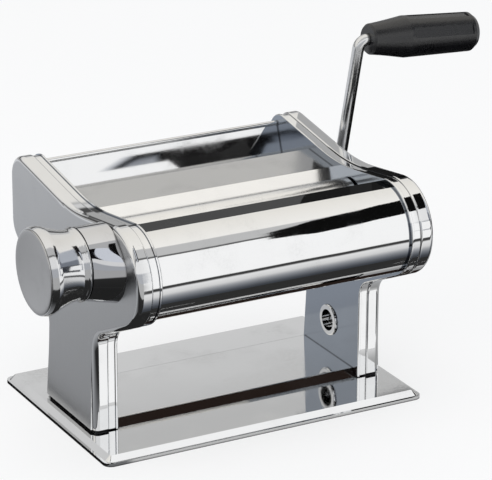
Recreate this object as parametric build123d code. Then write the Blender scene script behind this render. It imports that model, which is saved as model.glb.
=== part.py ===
import os
from math import acos, asin, atan2, cos, degrees, hypot, radians, sin, tan

from build123d import *

# A hand-cranked pasta roller machine. X runs along the rollers, with the crank at +X and the
# thickness knob at -X. Y runs from the round front cover (-Y) to the back, and Z is up.
# The origin is the middle of the base, on the table. All sizes are millimetres.

# Base and its feet
base_length = 204.0
base_depth = 138.0
base_height = 5.0
lip_height = 2.0
lip_ledge = 1.5
base_bevel = 3.0
base_corner = 5.0
base_sheet = 1.2
foot_radius = 7.0
foot_inset = (14.0, 15.0)
bridge_half_depth = 28.5
bridge_height = 4.3
bridge_lean = 4.3

# Side frames and their outer covers, measured outwards from the middle of the machine
inner_face = 78.0
frame_plate = 2.0
seam = 83.7
outer_face = 92.7
cover_wall = 1.8
frame_inset = 0.9
bead_width, bead_round = 1.4, 0.6
cover_edge_round, seam_round = 3.2, 1.0
cover_ground_gap = 1.6

# Side outline, in Y and Z
nose_y, nose_z, nose_radius = -63.0, 108.5, 28.7
nose_top_slope = 8.0
nose_low_slope = 25.0
leg_front = -35.0
leg_back_low = 30.3
leg_back_high = (26.0, 57.0)
rear_y = 74.0
rear_low_z = 93.0
saddle_y = -8.9
crown_slope = 8.5
leg_round, rear_round, saddle_round = 13.0, 14.0, 130.0
leg_flare = 1.5
leg_crease_z = 57.0

# Foot flanges, screws and nuts
foot_flange = 2.0
foot_flange_end = 89.4
foot_flange_front, foot_flange_back = leg_front + 4.0, leg_back_low - 4.5
leg_screw_radius, leg_screw_head, leg_nut_radius = 2.0, 3.4, 3.2
leg_screw_x, leg_screw_inset = 87.0, 9.0
tie_screw_radius, tie_screw_head = 2.0, 3.6
cover_screw_radius, cover_screw_head, cover_screw_sink = 1.5, 2.8, 1.0
cover_post_radius = 4.0
screw_length = 9.0

# Rollers and the eccentric that sets their gap
roller_radius = 14.5
roller_half_length = 77.0
roller_edge = 0.6
roller_tilt = 8.0
gap_wide, gap_fine = 4.6, 0.3
knob_axis = (-53.0, 116.4)
knob_swing = 120.0
journal_radius = 3.5
running_gap = 0.05
bush_wall = 1.2
hub_radius = 9.0
rear_journal_radius = 6.0

# Bushes
frame_bush_radius, frame_bush_flange = 8.0, 10.0
knob_bush_radius, knob_bush_flange, knob_bush_length = 6.0, 8.0, 2.4
crank_bush_radius, crank_bush_flange, crank_bush_stand = 8.6, 10.4, 1.3
crank_shaft_radius = 6.6
stud_radius, stud_collar_radius = 4.0, 6.0
roller_bush_length = 12.0

# Gears. Their tall teeth still reach each other when the rollers stand widest apart. A tooth's
# half widths are shares of the pitch at its root, at the pitch circle and at its tip.
teeth = 14
idler_teeth = 16
gear_x, gear_width = 82.8, 5.2
tooth_reach = 2.4
tooth_root = 2.65
tooth_shares = (0.24, 0.15, 0.05)
mesh_slack = 0.15
mesh_lead = 0.8
crank_axis = (34.0, 104.0)

# Knob and its boss
boss_radius = 20.3
boss_end = 110.0
boss_flare = 5.0
parting_gap = 0.6
knob_length = 25.0
knob_rim_radius, knob_rim_at = 24.8, 19.0
knob_ring_width, knob_ring_crown = 2.4, 0.5
knob_waist_radius, knob_waist_at = 19.7, 4.4
knob_flank_radius, knob_flank_at = 21.2, 10.5
knob_shell_wall = 2.4
knob_hub_radius = 8.0
index_radius = 14.0
index_steps = 9
shaft_square = 4.8
boss_wall = 1.8
index_plate_thick, index_plate_sink = 1.6, 0.6
pin_radius, pin_hole_radius, pin_root, pin_reach = 1.5, 1.8, 8.0, 0.8
spring_seat = 9.0
spring_radius, spring_bore = 5.6, 3.8
shaft_end_sink, shaft_nut_thick, shaft_nut_radius = 4.4, 1.8, 6.2
face_seat, face_rim = 23.2, 1.5

# Crank
rod_radius = 3.5
arm_start_x, arm_end_x, arm_length = 102.5, 110.4, 88.0
arm_lean = 6.5
crank_bend = 5.5
spindle_length = 75.5
spindle_droop = 4.0
socket_flats = 6.4
socket_depth = 12.0
grip_start, grip_length = 5.5, 72.5
grip_mouth_radius, grip_belly_radius, grip_far_radius = 9.2, 12.5, 11.8
grip_belly_at = 24.0
grip_panels = 6

# Sheet covers
sheet = 1.0
drum_radius = 26.4
drum_from, drum_to = 103.0, 285.0
flange_end = (-53.5, 133.4)
flange_lip = (1.2, -2.4)
tray_front, tray_back = (-2.5, 126.3), (26.5, 129.0)
tray_toe_angle, tray_toe_gap = 40.0, 2.0
back_wall_y, back_wall_top, back_knee_z, back_lean = 65.5, 133.5, 90.0, 20.0
tie_rod_radius = 3.5
tie_rods_at = [(-63.0, 90.0), (-6.0, 73.0), (26.0, 84.0)]
cover_posts_at = [(-47.0, 83.0), (13.0, 66.0), (65.0, 112.0)]
clamp_hole = (-0.7, 29.6)
clamp_bore_radius, clamp_barrel_radius, clamp_flange_radius = 6.5, 8.0, 9.5
clamp_depth = 12.0


def turned(vector, angle):
    """A (y, z) direction turned about +X by an angle in degrees."""
    a = radians(angle)
    return (vector[0] * cos(a) - vector[1] * sin(a), vector[0] * sin(a) + vector[1] * cos(a))


def along(point, direction, distance):
    return (point[0] + direction[0] * distance, point[1] + direction[1] * distance)


# The two rollers lie along a line that falls a little towards the back. The eccentric's throw
# swings evenly about the straight-down direction, so both end stops leave the axes on that line.
widest = 2 * roller_radius + gap_wide
closest = 2 * roller_radius + gap_fine
throw = (widest - closest) / 2 / sin(radians(knob_swing / 2))
to_rear = turned((1.0, 0.0), -roller_tilt)
downwards = turned(to_rear, -90.0)
front_axis = along(knob_axis, turned(downwards, -knob_swing / 2), throw)
rear_axis = along(front_axis, to_rear, widest)
eccentric_radius = journal_radius + throw + 0.1
bush_radius = eccentric_radius + running_gap + bush_wall

# Stations along X that several pieces share
plate_outer = inner_face + frame_plate
cover_inside = outer_face - cover_wall
gear_end = gear_x + gear_width
knob_start = boss_end + parting_gap
knob_face = knob_start + knob_length
shaft_end = knob_face - shaft_end_sink
crank_shaft_end = outer_face + crank_bush_stand
spindle_start = Vector(arm_end_x, 0, arm_length)

# Gear sizes: the roller gears touch at full depth when the rollers are closest.
pitch_radius = closest / 2
module = 2 * pitch_radius / teeth
idler_pitch_radius = module * idler_teeth / 2
idler_reach = pitch_radius + idler_pitch_radius + mesh_slack


def idler_axis():
    """The idler's centre, the same distance from the rear roller and the crank shaft."""
    dy, dz = crank_axis[0] - rear_axis[0], crank_axis[1] - rear_axis[1]
    bend = degrees(acos(hypot(dy, dz) / 2 / idler_reach))
    line = degrees(atan2(dz, dy))
    return along(rear_axis, turned((1.0, 0.0), line - bend), idler_reach)


def drawn_out(section, x, length):
    """A section drawn in Y and Z, drawn out along +X from x."""
    return Pos(x, 0, 0) * extrude(Plane.YZ * section, length)


def rod(radius, x0, x1, centre):
    """A round bar along X."""
    return Pos((x0 + x1) / 2, *centre) * Rot(0, 90, 0) * Cylinder(radius, abs(x1 - x0))


def tube(radius, bore, x0, x1, centre):
    return rod(radius, x0, x1, centre) - rod(bore, x0, x1, centre)


def other_side(shape):
    return mirror(shape, about=Plane.YZ)


def folded(points, bend, thickness=sheet):
    """Section of a sheet folded along a line of points, its thickness on the right of the line."""
    path = FilletPolyline(*points, radius=bend)
    return make_face(offset(path, thickness, side=Side.RIGHT))


def nearest_vertex(section, point):
    return section.vertices().sort_by_distance(Vector(*point))[0]


def side_outline(bottom=base_height):
    """Round nose, dipped top, tall back and a straight leg."""
    top = along((nose_y, nose_z), turned((0, 1), -nose_top_slope), nose_radius)
    low = along((nose_y, nose_z), turned((0, -1), -nose_low_slope), nose_radius)
    saddle = (saddle_y, top[1] - (saddle_y - top[0]) * tan(radians(nose_top_slope)))
    crown = (rear_y, saddle[1] + (rear_y - saddle_y) * tan(radians(crown_slope)))
    chin = (leg_front, low[1] - (leg_front - low[0]) * tan(radians(nose_low_slope)))
    heel = (rear_y, rear_low_z)
    corners = [(leg_front, bottom), (leg_back_low, bottom), leg_back_high, heel, crown]
    corners += [saddle, top, low, chin]
    section = Sketch() + make_face(Polyline(*corners, close=True))
    section += Pos(nose_y, nose_z) * Circle(nose_radius)
    rounds = [(leg_back_high, leg_round), (heel, rear_round), (crown, rear_round)]
    rounds += [(saddle, saddle_round), (chin, leg_round)]
    for point, radius in rounds:
        section = fillet(nearest_vertex(section, point), radius)
    return section


def base_plate():
    """A pressed tray: an upright lip, a narrow ledge, a bevel and a flat top."""
    lip = extrude(RectangleRounded(base_length, base_depth, base_corner), lip_height)
    ledge = RectangleRounded(base_length - 2 * lip_ledge, base_depth - 2 * lip_ledge, base_corner - 1)
    bevel = Pos(0, 0, lip_height) * extrude(ledge, base_height - lip_height, taper=45)
    inset = 2 * (lip_ledge + base_bevel + base_sheet)
    hollow = extrude(Rectangle(base_length - inset, base_depth - inset), base_height - base_sheet)
    plate = lip + bevel - hollow
    for x, y in leg_screw_places():
        plate -= Pos(x, y, base_height) * Cylinder(leg_screw_radius, 4 * base_sheet)
    return plate


def leg_screw_places():
    front, back = foot_flange_front + leg_screw_inset, foot_flange_back - leg_screw_inset
    return [(side * leg_screw_x, y) for side in (-1, 1) for y in (front, back)]


def base_feet():
    """Rubber feet, drawn as they sit under the machine's weight, level with the lip."""
    height = base_height - base_sheet
    x, y = base_length / 2 - foot_inset[0], base_depth / 2 - foot_inset[1]
    foot = Pos(0, 0, height / 2) * Cylinder(foot_radius, height)
    foot = chamfer(foot.edges().group_by(Axis.Z)[0], 0.8)
    return [Pos(sx * x, sy * y, 0) * foot for sx in (-1, 1) for sy in (-1, 1)]


def leg_bridge_plate():
    """The raised floor between the legs, with a sloping lip at the front and the back."""
    top = base_height + bridge_height
    low = bridge_half_depth + bridge_lean
    line = [(-low, base_height), (-bridge_half_depth, top), (bridge_half_depth, top), (low, base_height)]
    section = folded(line, 1.2) & Pos(0, base_height + 20) * Rectangle(4 * low, 40)
    return drawn_out(section, -inner_face, 2 * inner_face)


def side_frame(outline, round_holes):
    """The right-hand frame: a shallow pan that opens outwards, with a bead round its inner edge."""
    rim = offset(outline, -frame_inset)
    depth = seam - inner_face
    bead = drawn_out(offset(outline, -0.3), inner_face, bead_width)
    bead = fillet(bead.faces().sort_by(Axis.X)[0].edges(), bead_round)
    frame = drawn_out(rim, inner_face, depth) + bead
    frame -= drawn_out(offset(rim, -cover_wall), plate_outer, depth)
    middle = (foot_flange_front + foot_flange_back) / 2
    size = (foot_flange_end - plate_outer, foot_flange_back - foot_flange_front, foot_flange)
    flange = Box(*size, align=(Align.MIN, Align.CENTER, Align.MIN))
    frame += Pos(plate_outer, middle, base_height) * flange
    for x, y in leg_screw_places():
        frame -= Pos(abs(x), y, base_height) * Cylinder(leg_screw_radius, 10)
    frame &= drawn_out(offset(outline, 0.1), inner_face, 30)
    for place in tie_rods_at:
        frame -= rod(tie_screw_radius, inner_face - 1, seam, place)
    for place in cover_posts_at:
        frame -= rod(cover_screw_radius, inner_face - 1, seam, place)
        frame -= rod(cover_screw_head, inner_face - 1, inner_face + cover_screw_sink, place)
    for centre, radius in round_holes:
        frame -= rod(radius, inner_face - 1, plate_outer + 1, centre)
    return frame


def left_side_frame(outline):
    holes = [(rear_axis, frame_bush_radius), (knob_axis, knob_bush_radius), (clamp_hole, clamp_barrel_radius)]
    return other_side(side_frame(outline, holes))


def right_side_frame(outline):
    hub_room = hub_radius + throw + 0.6
    holes = [(rear_axis, frame_bush_radius), (knob_axis, hub_room), (clamp_hole, clamp_barrel_radius)]
    holes += [(crank_axis, frame_bush_radius), (idler_axis(), stud_radius)]
    return side_frame(outline, holes)


def side_cover(outline):
    """The right-hand outer cover: a rounded pan over the frame, with a leg that flares at its foot."""
    depth = outer_face - seam
    shell = drawn_out(outline, seam, depth)
    shell = fillet(shell.faces().sort_by(Axis.X)[-1].edges(), cover_edge_round)
    shell = fillet(shell.faces().sort_by(Axis.X)[0].edges(), seam_round)
    flare = make_face(Polyline((0, leg_crease_z), (0, 0), (leg_flare, 0), close=True))
    flare = Pos(outer_face - 0.2, leg_back_low, 0) * extrude(Plane.XZ * flare, leg_back_low - leg_front)
    shell += flare & drawn_out(offset(outline, -cover_edge_round), seam, 2 * depth)
    shell -= drawn_out(offset(outline, -cover_wall), seam, depth - cover_wall)
    for place in cover_posts_at:
        shell += tube(cover_post_radius, cover_screw_radius, plate_outer, cover_inside, place)
    ground = base_height + cover_ground_gap
    return shell - Pos(seam, 0, 0) * Box(60, 2 * base_depth, 2 * ground)


def left_side_cover(outline):
    hole = rod(journal_radius + 2.0, -outer_face - 1, -seam, knob_axis)
    return other_side(side_cover(outline)) - hole


def right_side_cover(outline):
    cover = side_cover(outline)
    seat = cover_inside - knob_bush_length
    cover += rod(knob_bush_flange, seat, cover_inside, knob_axis)
    cover -= rod(knob_bush_radius, seat, cover_inside, knob_axis)
    return cover - rod(crank_bush_radius, cover_inside - 1, outer_face + 3, crank_axis)


def leg_gaskets():
    """A dark strip in the gap between each outer cover and the base."""
    span = foot_flange_back - foot_flange_front
    middle = (foot_flange_front + foot_flange_back) / 2
    outer, inner = outer_face - 1.4, foot_flange_end + 0.1
    height = cover_ground_gap
    corner = (Align.MIN, Align.CENTER, Align.MIN)
    ring = Box(outer - seam, span + 4.0, height, align=corner)
    ring -= Box(inner - seam, span + 0.2, height, align=corner)
    right = Pos(seam, middle, base_height) * ring
    return [right, other_side(right)]


def screw(shank, head, length, head_height):
    """A round-headed screw, standing on Z with its shank below zero."""
    body = Pos(0, 0, -length / 2) * Cylinder(shank, length)
    top = Pos(0, 0, head_height / 2) * Cylinder(head, head_height)
    top = chamfer(top.edges().group_by(Axis.Z)[-1], head_height * 0.4)
    return body + top


def leg_screws():
    bolt = Rot(180, 0, 0) * screw(leg_screw_radius, leg_screw_head, screw_length - 1, 2.0)
    return [Pos(x, y, base_height - base_sheet) * bolt for x, y in leg_screw_places()]


def leg_nuts():
    nut = extrude(RegularPolygon(leg_nut_radius, 6), 2.4) - Cylinder(leg_screw_radius, 10)
    return [Pos(x, y, base_height + foot_flange) * nut for x, y in leg_screw_places()]


def front_drum_cover():
    """The round front cover, creased into a flat flange that ends in a turned-down lip."""
    ring = Circle(drum_radius) - Circle(drum_radius - sheet)
    reach = 3 * drum_radius
    middle = (drum_to + drum_from + 360) / 2
    rays = [along((0, 0), turned((1, 0), a), reach) for a in (drum_to, middle - 45, middle + 45, drum_from)]
    ring -= make_face(Polyline((0, 0), *rays, close=True))
    crease = along((nose_y, nose_z), turned((1, 0), drum_from), drum_radius)
    flange = folded([crease, flange_end, along(flange_end, flange_lip, 1.0)], 1.1)
    section = Pos(nose_y, nose_z) * ring + flange
    return drawn_out(section, -inner_face, 2 * inner_face)


def feed_tray():
    """The near-level dough plate, with a lip down to the rear roller and a fold at the back."""
    toe = along(rear_axis, turned((1, 0), tray_toe_angle), roller_radius + tray_toe_gap)
    heel = (tray_back[0] + 0.8, tray_back[1] - 7.0)
    return drawn_out(folded([toe, tray_front, tray_back, heel], 1.2), -inner_face, 2 * inner_face)


def back_panel():
    """The back wall with a rolled top edge. It leans back, and its foot folds forwards under the body."""
    foot = (leg_back_high[0] + 6.0, leg_back_high[1] + 12.0)
    knee = (back_wall_y - (back_wall_top - back_knee_z) * tan(radians(back_lean)), back_knee_z)
    section = folded([(back_wall_y, back_wall_top), knee, foot], 6.0)
    section += Pos(back_wall_y - sheet / 2, back_wall_top) * Circle(1.5)
    return drawn_out(section, -inner_face, 2 * inner_face)


def scraper(tip_from, angle, heel):
    """A thin blade whose edge stands just clear of a roller."""
    tip = along(tip_from, turned((1, 0), angle), roller_radius + 0.5)
    run = hypot(heel[0] - tip[0], heel[1] - tip[1])
    lean = degrees(atan2(heel[1] - tip[1], heel[0] - tip[0]))
    blade = Pos(*tip) * Rot(0, 0, lean) * Pos(run / 2, 0) * Rectangle(run, 0.8)
    return drawn_out(blade, -inner_face, 2 * inner_face)


def tie_rods():
    rods = []
    for place in tie_rods_at:
        bar = rod(tie_rod_radius, -inner_face, inner_face, place)
        for side in (-1, 1):
            bar -= rod(tie_screw_radius, side * (inner_face - screw_length), side * inner_face, place)
        rods.append(bar)
    return rods


def tie_rod_screws():
    bolt = screw(tie_screw_radius, tie_screw_head, screw_length, 2.2)
    right = [Pos(plate_outer, *place) * Rot(0, 90, 0) * bolt for place in tie_rods_at]
    return right + [other_side(bolt) for bolt in right]


def cover_screws():
    bolt = screw(cover_screw_radius, cover_screw_head, screw_length, cover_screw_sink)
    seat = inner_face + cover_screw_sink
    right = [Pos(seat, *place) * Rot(0, -90, 0) * bolt for place in cover_posts_at]
    return right + [other_side(bolt) for bolt in right]


def flanged_bush(radius, bore, flange, x0, x1, centre, flange_length=1.6):
    """A plain bush from x0 to x1 with a flange beyond x1."""
    step = flange_length if x1 > x0 else -flange_length
    return rod(radius, x0, x1, centre) + rod(flange, x1, x1 + step, centre) - rod(bore, x0, x1 + step, centre)


def rear_roller_bushes():
    bore = rear_journal_radius + running_gap
    right = flanged_bush(frame_bush_radius, bore, frame_bush_flange, inner_face, plate_outer, rear_axis)
    return [right, other_side(right)]


def regulator_bushes():
    """The eccentric shaft turns in the left frame and in the right cover."""
    bore = journal_radius + running_gap
    left = flanged_bush(knob_bush_radius, bore, knob_bush_flange, -inner_face, -plate_outer, knob_axis)
    return [left, tube(knob_bush_radius, bore, cover_inside - knob_bush_length, cover_inside, knob_axis)]


def crank_shaft_bushes():
    bore = rear_journal_radius + running_gap
    inner = flanged_bush(frame_bush_radius, bore, frame_bush_flange, inner_face, plate_outer, crank_axis)
    bore = crank_shaft_radius + running_gap
    outer = flanged_bush(crank_bush_radius, bore, crank_bush_flange, cover_inside, outer_face, crank_axis,
                         crank_bush_stand)
    return [inner, outer]


def idler_stud():
    """A pin riveted in the right frame, with a collar that keeps the idler in line."""
    collar = rod(stud_collar_radius, plate_outer, gear_x - 0.2, idler_axis())
    return rod(stud_radius, inner_face, gear_end + 1.6, idler_axis()) + collar


def idler_clip():
    start = gear_end + 0.3
    return tube(stud_collar_radius, stud_radius, start, start + 1.0, idler_axis())


def clamp_sleeves():
    """The blind sockets that take the table clamp's pin, rolled over the leg's inner face."""
    mouth, rim = inner_face - 1.2, inner_face
    sleeve = rod(clamp_flange_radius, mouth, rim, clamp_hole)
    sleeve = fillet(sleeve.edges().filter_by(GeomType.CIRCLE).group_by(Axis.X)[0], 0.9)
    sleeve += rod(clamp_barrel_radius, rim, mouth + clamp_depth + 1.2, clamp_hole)
    sleeve -= rod(clamp_bore_radius, mouth, mouth + clamp_depth, clamp_hole)
    return [sleeve, other_side(sleeve)]


def gear(count, phase, axis, bore):
    """A spur gear with tall tapered teeth. The phase is the angle of one tooth from +Y, in degrees."""
    pitch = module * count / 2
    step = 360.0 / count
    rising = list(zip((pitch - tooth_root, pitch, pitch + tooth_reach), tooth_shares))
    flanks = [(radius, -share) for radius, share in rising] + rising[::-1]
    outline = []
    for tooth in range(count):
        for radius, share in flanks:
            angle = phase + (tooth + share * pitch / radius) * step
            outline.append(along((0, 0), turned((1, 0), angle), radius))
    section = make_face(Polyline(*outline, close=True)) - Circle(bore)
    return drawn_out(Pos(*axis) * section, gear_x, gear_width)


def meshing_phase(count_a, phase_a, axis_a, count_b, axis_b):
    """The phase that puts a gap of gear b where gear a has a tooth, on the line between them."""
    line = degrees(atan2(axis_b[1] - axis_a[1], axis_b[0] - axis_a[0]))
    share = (line - phase_a) * count_a / 360.0
    return line + 180.0 - (0.5 - share) * 360.0 / count_b


front_phase = -roller_tilt
rear_phase = meshing_phase(teeth, front_phase, front_axis, teeth, rear_axis) + mesh_lead
idler_phase = meshing_phase(teeth, rear_phase, rear_axis, idler_teeth, idler_axis())
crank_phase = meshing_phase(idler_teeth, idler_phase, idler_axis(), teeth, crank_axis)


def rear_roller():
    """Solid roller; its right journal reaches through the frame to carry a gear."""
    body = rod(roller_radius, -roller_half_length, roller_half_length, rear_axis)
    body = fillet(body.edges().filter_by(GeomType.CIRCLE), roller_edge)
    left = rod(rear_journal_radius, -plate_outer - 2.5, -roller_half_length, rear_axis)
    return body + left + rod(rear_journal_radius, roller_half_length, gear_end, rear_axis)


def front_roller():
    """Hollow roller round the eccentric shaft, with a hub for its gear at the right."""
    body = rod(roller_radius, -roller_half_length, roller_half_length, front_axis)
    body = fillet(body.edges().filter_by(GeomType.CIRCLE), roller_edge)
    body += rod(hub_radius, roller_half_length, gear_end, front_axis)
    return body - rod(bush_radius + running_gap, -inner_face, gear_end, front_axis)


def roller_bushes():
    """Two floating bushes between the eccentric and the front roller."""
    bore = eccentric_radius + running_gap
    left = tube(bush_radius, bore, -roller_half_length, -roller_half_length + roller_bush_length, front_axis)
    right = tube(bush_radius, bore, gear_end - roller_bush_length, gear_end, front_axis)
    return [left, right]


def crank_shaft():
    """A stub shaft with a six-sided socket for the crank."""
    shaft = rod(rear_journal_radius, inner_face + 0.4, gear_end, crank_axis)
    shaft += rod(crank_shaft_radius, gear_end, crank_shaft_end, crank_axis)
    socket = Pos(*crank_axis) * Rot(0, 0, arm_lean) * RegularPolygon(socket_flats / 2, 6, major_radius=False)
    return shaft - drawn_out(socket, crank_shaft_end - socket_depth, socket_depth)


def knob_boss(outline):
    """The chromed collar between the left cover and the knob: a deep cup that flares at the cover."""
    length, bore, hole = boss_end - outer_face, boss_radius - boss_wall, journal_radius + 2.0
    foot = RadiusArc((0, boss_radius + boss_flare), (boss_flare, boss_radius), -boss_flare)
    inside = Polyline((boss_flare, boss_radius), (length, boss_radius), (length, bore), (boss_wall, bore),
                      (boss_wall, hole), (0, hole), (0, boss_radius + boss_flare))
    boss = about_knob_axis(foot + inside, outer_face)
    return boss & other_side(drawn_out(outline, outer_face, length))


def about_knob_axis(profile, start):
    """A profile of (distance outwards, radius) turned about the knob's axis, from start towards -X."""
    solid = revolve(Plane.XY * make_face(profile), Axis.X)
    return Pos(0, *knob_axis) * other_side(Pos(start, 0, 0) * solid)


def index_plate():
    """A ring in the boss's mouth with one hole for each roller setting."""
    outside = -boss_end + index_plate_sink
    inside = outside + index_plate_thick
    disc = tube(boss_radius - boss_wall, knob_bush_flange, outside, inside, knob_axis)
    for step in range(index_steps):
        place = along(knob_axis, turned((0, 1), step * knob_swing / (index_steps - 1)), index_radius)
        disc -= rod(pin_hole_radius, outside, inside, place)
    return disc


def eccentric_shaft():
    """Round ends on the knob's axis, a thick offset middle, and a square end for the knob."""
    left, right, key_start = -roller_half_length - 0.5, gear_end + 0.3, -boss_end + 4
    shaft = rod(eccentric_radius, left, right, front_axis)
    shaft += rod(journal_radius, right, cover_inside - 0.2, knob_axis)
    shaft += rod(journal_radius, key_start, left, knob_axis)
    return shaft + drawn_out(shaft_key(), -shaft_end, shaft_end + key_start)


def shaft_key(slack=0.0):
    """The square that the knob slides along, on the knob's axis."""
    return Pos(*knob_axis) * Rectangle(shaft_square + slack, shaft_square + slack)


def shaft_nut():
    """The retainer on the shaft's end that the knob's spring pushes against."""
    disc = rod(shaft_nut_radius, -shaft_end, -shaft_end + shaft_nut_thick, knob_axis)
    return disc - drawn_out(shaft_key(), -shaft_end, shaft_nut_thick)


def knob_spring():
    """The coil that holds the knob in, as one sleeve of the coil's size."""
    end = shaft_end - shaft_nut_thick
    return tube(spring_radius, spring_bore, -end, -knob_start - spring_seat, knob_axis)


def knob_body():
    """A waisted knob: a ring at the boss, a drawn-in neck, a hollow flank and a full round rim."""
    ring, rim = boss_radius, knob_rim_radius
    ring_end = (knob_ring_width, ring)
    rim_back, rim_front = (knob_rim_at, rim - 0.6), (knob_length, rim - 0.9)
    flank = [(knob_waist_at, knob_waist_radius), (knob_flank_at, knob_flank_radius)]
    outer = ThreePointArc((0, ring), (knob_ring_width / 2, ring + knob_ring_crown), ring_end)
    outer += Spline(ring_end, *flank, rim_back, tangents=((1.0, -0.6), (1.0, 0.3)))
    outer += ThreePointArc(rim_back, ((knob_rim_at + knob_length) / 2, rim), rim_front)
    hub, shell = knob_hub_radius + 1.4, knob_waist_radius - knob_shell_wall
    inside = Polyline(rim_front, (knob_length, rim - face_rim), (face_seat, rim - face_rim), (face_seat, 7.0),
                      (spring_seat, 7.0), (spring_seat, 2.0), (2.0, 2.0), (2.0, hub), (knob_rim_at, hub),
                      (knob_rim_at, shell), (0, shell), (0, ring))
    body = about_knob_axis(outer + inside, knob_start)
    body -= drawn_out(shaft_key(slack=0.1), -knob_start - spring_seat, spring_seat)
    return body - rod(pin_radius, -knob_start - pin_root, -knob_start, index_place())


def index_place():
    return along(knob_axis, (0, 1), index_radius)


def knob_face_disc():
    """A satin disc, slightly domed, in the knob's rim."""
    rim = knob_rim_radius - face_rim
    edge, top = knob_length - 0.4, knob_length + 0.8
    dome = (rim**2 + (top - edge) ** 2) / 2 / (top - edge)
    profile = Polyline((top, 0), (face_seat, 0), (face_seat, rim), (edge, rim))
    profile += CenterArc((top - dome, 0), dome, 0, degrees(asin(rim / dome)))
    return about_knob_axis(profile, knob_start)


def index_pin():
    return rod(pin_radius, -knob_start - pin_root, -knob_start + pin_reach, index_place())


def placed_crank(shape):
    """From the crank's own place, with its axis on X and its arm up, to the machine."""
    return Pos(0, *crank_axis) * Rot(arm_lean, 0, 0) * shape


def on_spindle(shape):
    """From a place along X to the drooping spindle that the grip turns on."""
    return placed_crank(Pos(*spindle_start) * Rot(0, spindle_droop, 0) * shape)


def crank_rod():
    """One bent round bar: a six-sided tip, an arm that leans outwards, and the grip's spindle."""
    tip_end = outer_face + 1.6
    spindle_end = spindle_start + Vector(spindle_length, 0, 0).rotate(Axis.Y, spindle_droop)
    path = FilletPolyline((tip_end, 0, 0), (arm_start_x, 0, 0), spindle_start, spindle_end, radius=crank_bend)
    bar = sweep(Plane(path @ 0, z_dir=path % 0) * Circle(rod_radius), path)
    start = crank_shaft_end - socket_depth + 0.6
    tip = drawn_out(RegularPolygon(socket_flats / 2 - 0.1, 6, major_radius=False), start, tip_end - start)
    return placed_crank(bar + tip)


def crank_grip():
    """A plastic grip that swells from the arm, with shallow panels along its thick part."""
    far, bore, mouth = grip_length, rod_radius + 0.06, (1.2, grip_mouth_radius)
    belly, shoulder = (grip_belly_at, grip_belly_radius), (grip_length - 3.0, grip_far_radius)
    profile = Polyline((0, bore), (0, grip_mouth_radius - 1.0), mouth)
    profile += Spline(mouth, belly, tangents=((1, 0.1), (1, 0.16)))
    profile += Polyline(belly, shoulder, (far, grip_far_radius - 2.0), (far, 7.0), (far - 7.0, 7.0),
                        (far - 7.0, bore), (0, bore))
    grip = revolve(Plane.XZ * make_face(profile), Axis.X)
    length = shoulder[0] - belly[0]
    slope = degrees(atan2(grip_belly_radius - grip_far_radius, length))
    middle = ((belly[0] + shoulder[0]) / 2, 0, (grip_belly_radius + grip_far_radius) / 2 + 0.3)
    panel = Pos(*middle) * Rot(0, slope, 0) * Box(length - 4.0, 6.4, 2.2)
    for turn in range(grip_panels):
        grip -= Rot(turn * 360.0 / grip_panels, 0, 0) * panel
    return on_spindle(Pos(grip_start, 0, 0) * grip)


def grip_retainer():
    """A pressed-on washer that keeps the grip on the spindle."""
    washer = Rot(0, 90, 0) * (Cylinder(6.0, 1.6) - Cylinder(rod_radius, 1.6))
    return on_spindle(Pos(grip_start + grip_length - 5.6, 0, 0) * washer)


def grip_end_cap():
    cap = Rot(0, 90, 0) * Cylinder(7.0, 2.0)
    return on_spindle(Pos(grip_start + grip_length - 1.0, 0, 0) * cap)


def save(name, shape):
    pieces = shape if isinstance(shape, list) else [shape]
    solids = [solid for piece in pieces for solid in piece.solids()]
    export_step(solids[0] if len(solids) == 1 else Compound(solids), f"parts/{name}.step")


def main():
    os.makedirs("parts", exist_ok=True)
    outline = side_outline()
    save("base_plate", base_plate())
    save("base_feet", base_feet())
    save("leg_bridge_plate", leg_bridge_plate())
    save("left_side_frame", left_side_frame(outline))
    save("right_side_frame", right_side_frame(outline))
    low_outline = side_outline(bottom=0.0)
    save("left_side_cover", left_side_cover(low_outline))
    save("right_side_cover", right_side_cover(low_outline))
    save("leg_gaskets", leg_gaskets())
    save("leg_screws", leg_screws())
    save("leg_nuts", leg_nuts())
    save("front_drum_cover", front_drum_cover())
    save("feed_tray", feed_tray())
    save("back_panel", back_panel())
    save("front_scraper", scraper(front_axis, 225.0, (-80.0, 97.0)))
    save("rear_scraper", scraper(rear_axis, -45.0, (-3.0, 91.0)))
    save("tie_rods", tie_rods())
    save("tie_rod_screws", tie_rod_screws())
    save("cover_screws", cover_screws())
    save("rear_roller_bushes", rear_roller_bushes())
    save("regulator_bushes", regulator_bushes())
    save("crank_shaft_bushes", crank_shaft_bushes())
    save("idler_stud", idler_stud())
    save("idler_clip", idler_clip())
    save("clamp_sleeves", clamp_sleeves())
    save("knob_boss", knob_boss(outline))
    save("index_plate", index_plate())
    save("rear_roller", rear_roller())
    save("rear_roller_gear", gear(teeth, rear_phase, rear_axis, rear_journal_radius))
    save("front_roller", front_roller())
    save("front_roller_gear", gear(teeth, front_phase, front_axis, hub_radius))
    save("roller_bushes", roller_bushes())
    save("idler_gear", gear(idler_teeth, idler_phase, idler_axis(), stud_radius + running_gap))
    save("crank_shaft", crank_shaft())
    save("crank_gear", gear(teeth, crank_phase, crank_axis, rear_journal_radius))
    save("crank_rod", crank_rod())
    save("grip_retainer", grip_retainer())
    save("crank_grip", crank_grip())
    save("grip_end_cap", grip_end_cap())
    save("eccentric_shaft", eccentric_shaft())
    save("shaft_nut", shaft_nut())
    save("knob_body", knob_body())
    save("knob_face_disc", knob_face_disc())
    save("index_pin", index_pin())
    save("knob_spring", knob_spring())


main()
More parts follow.
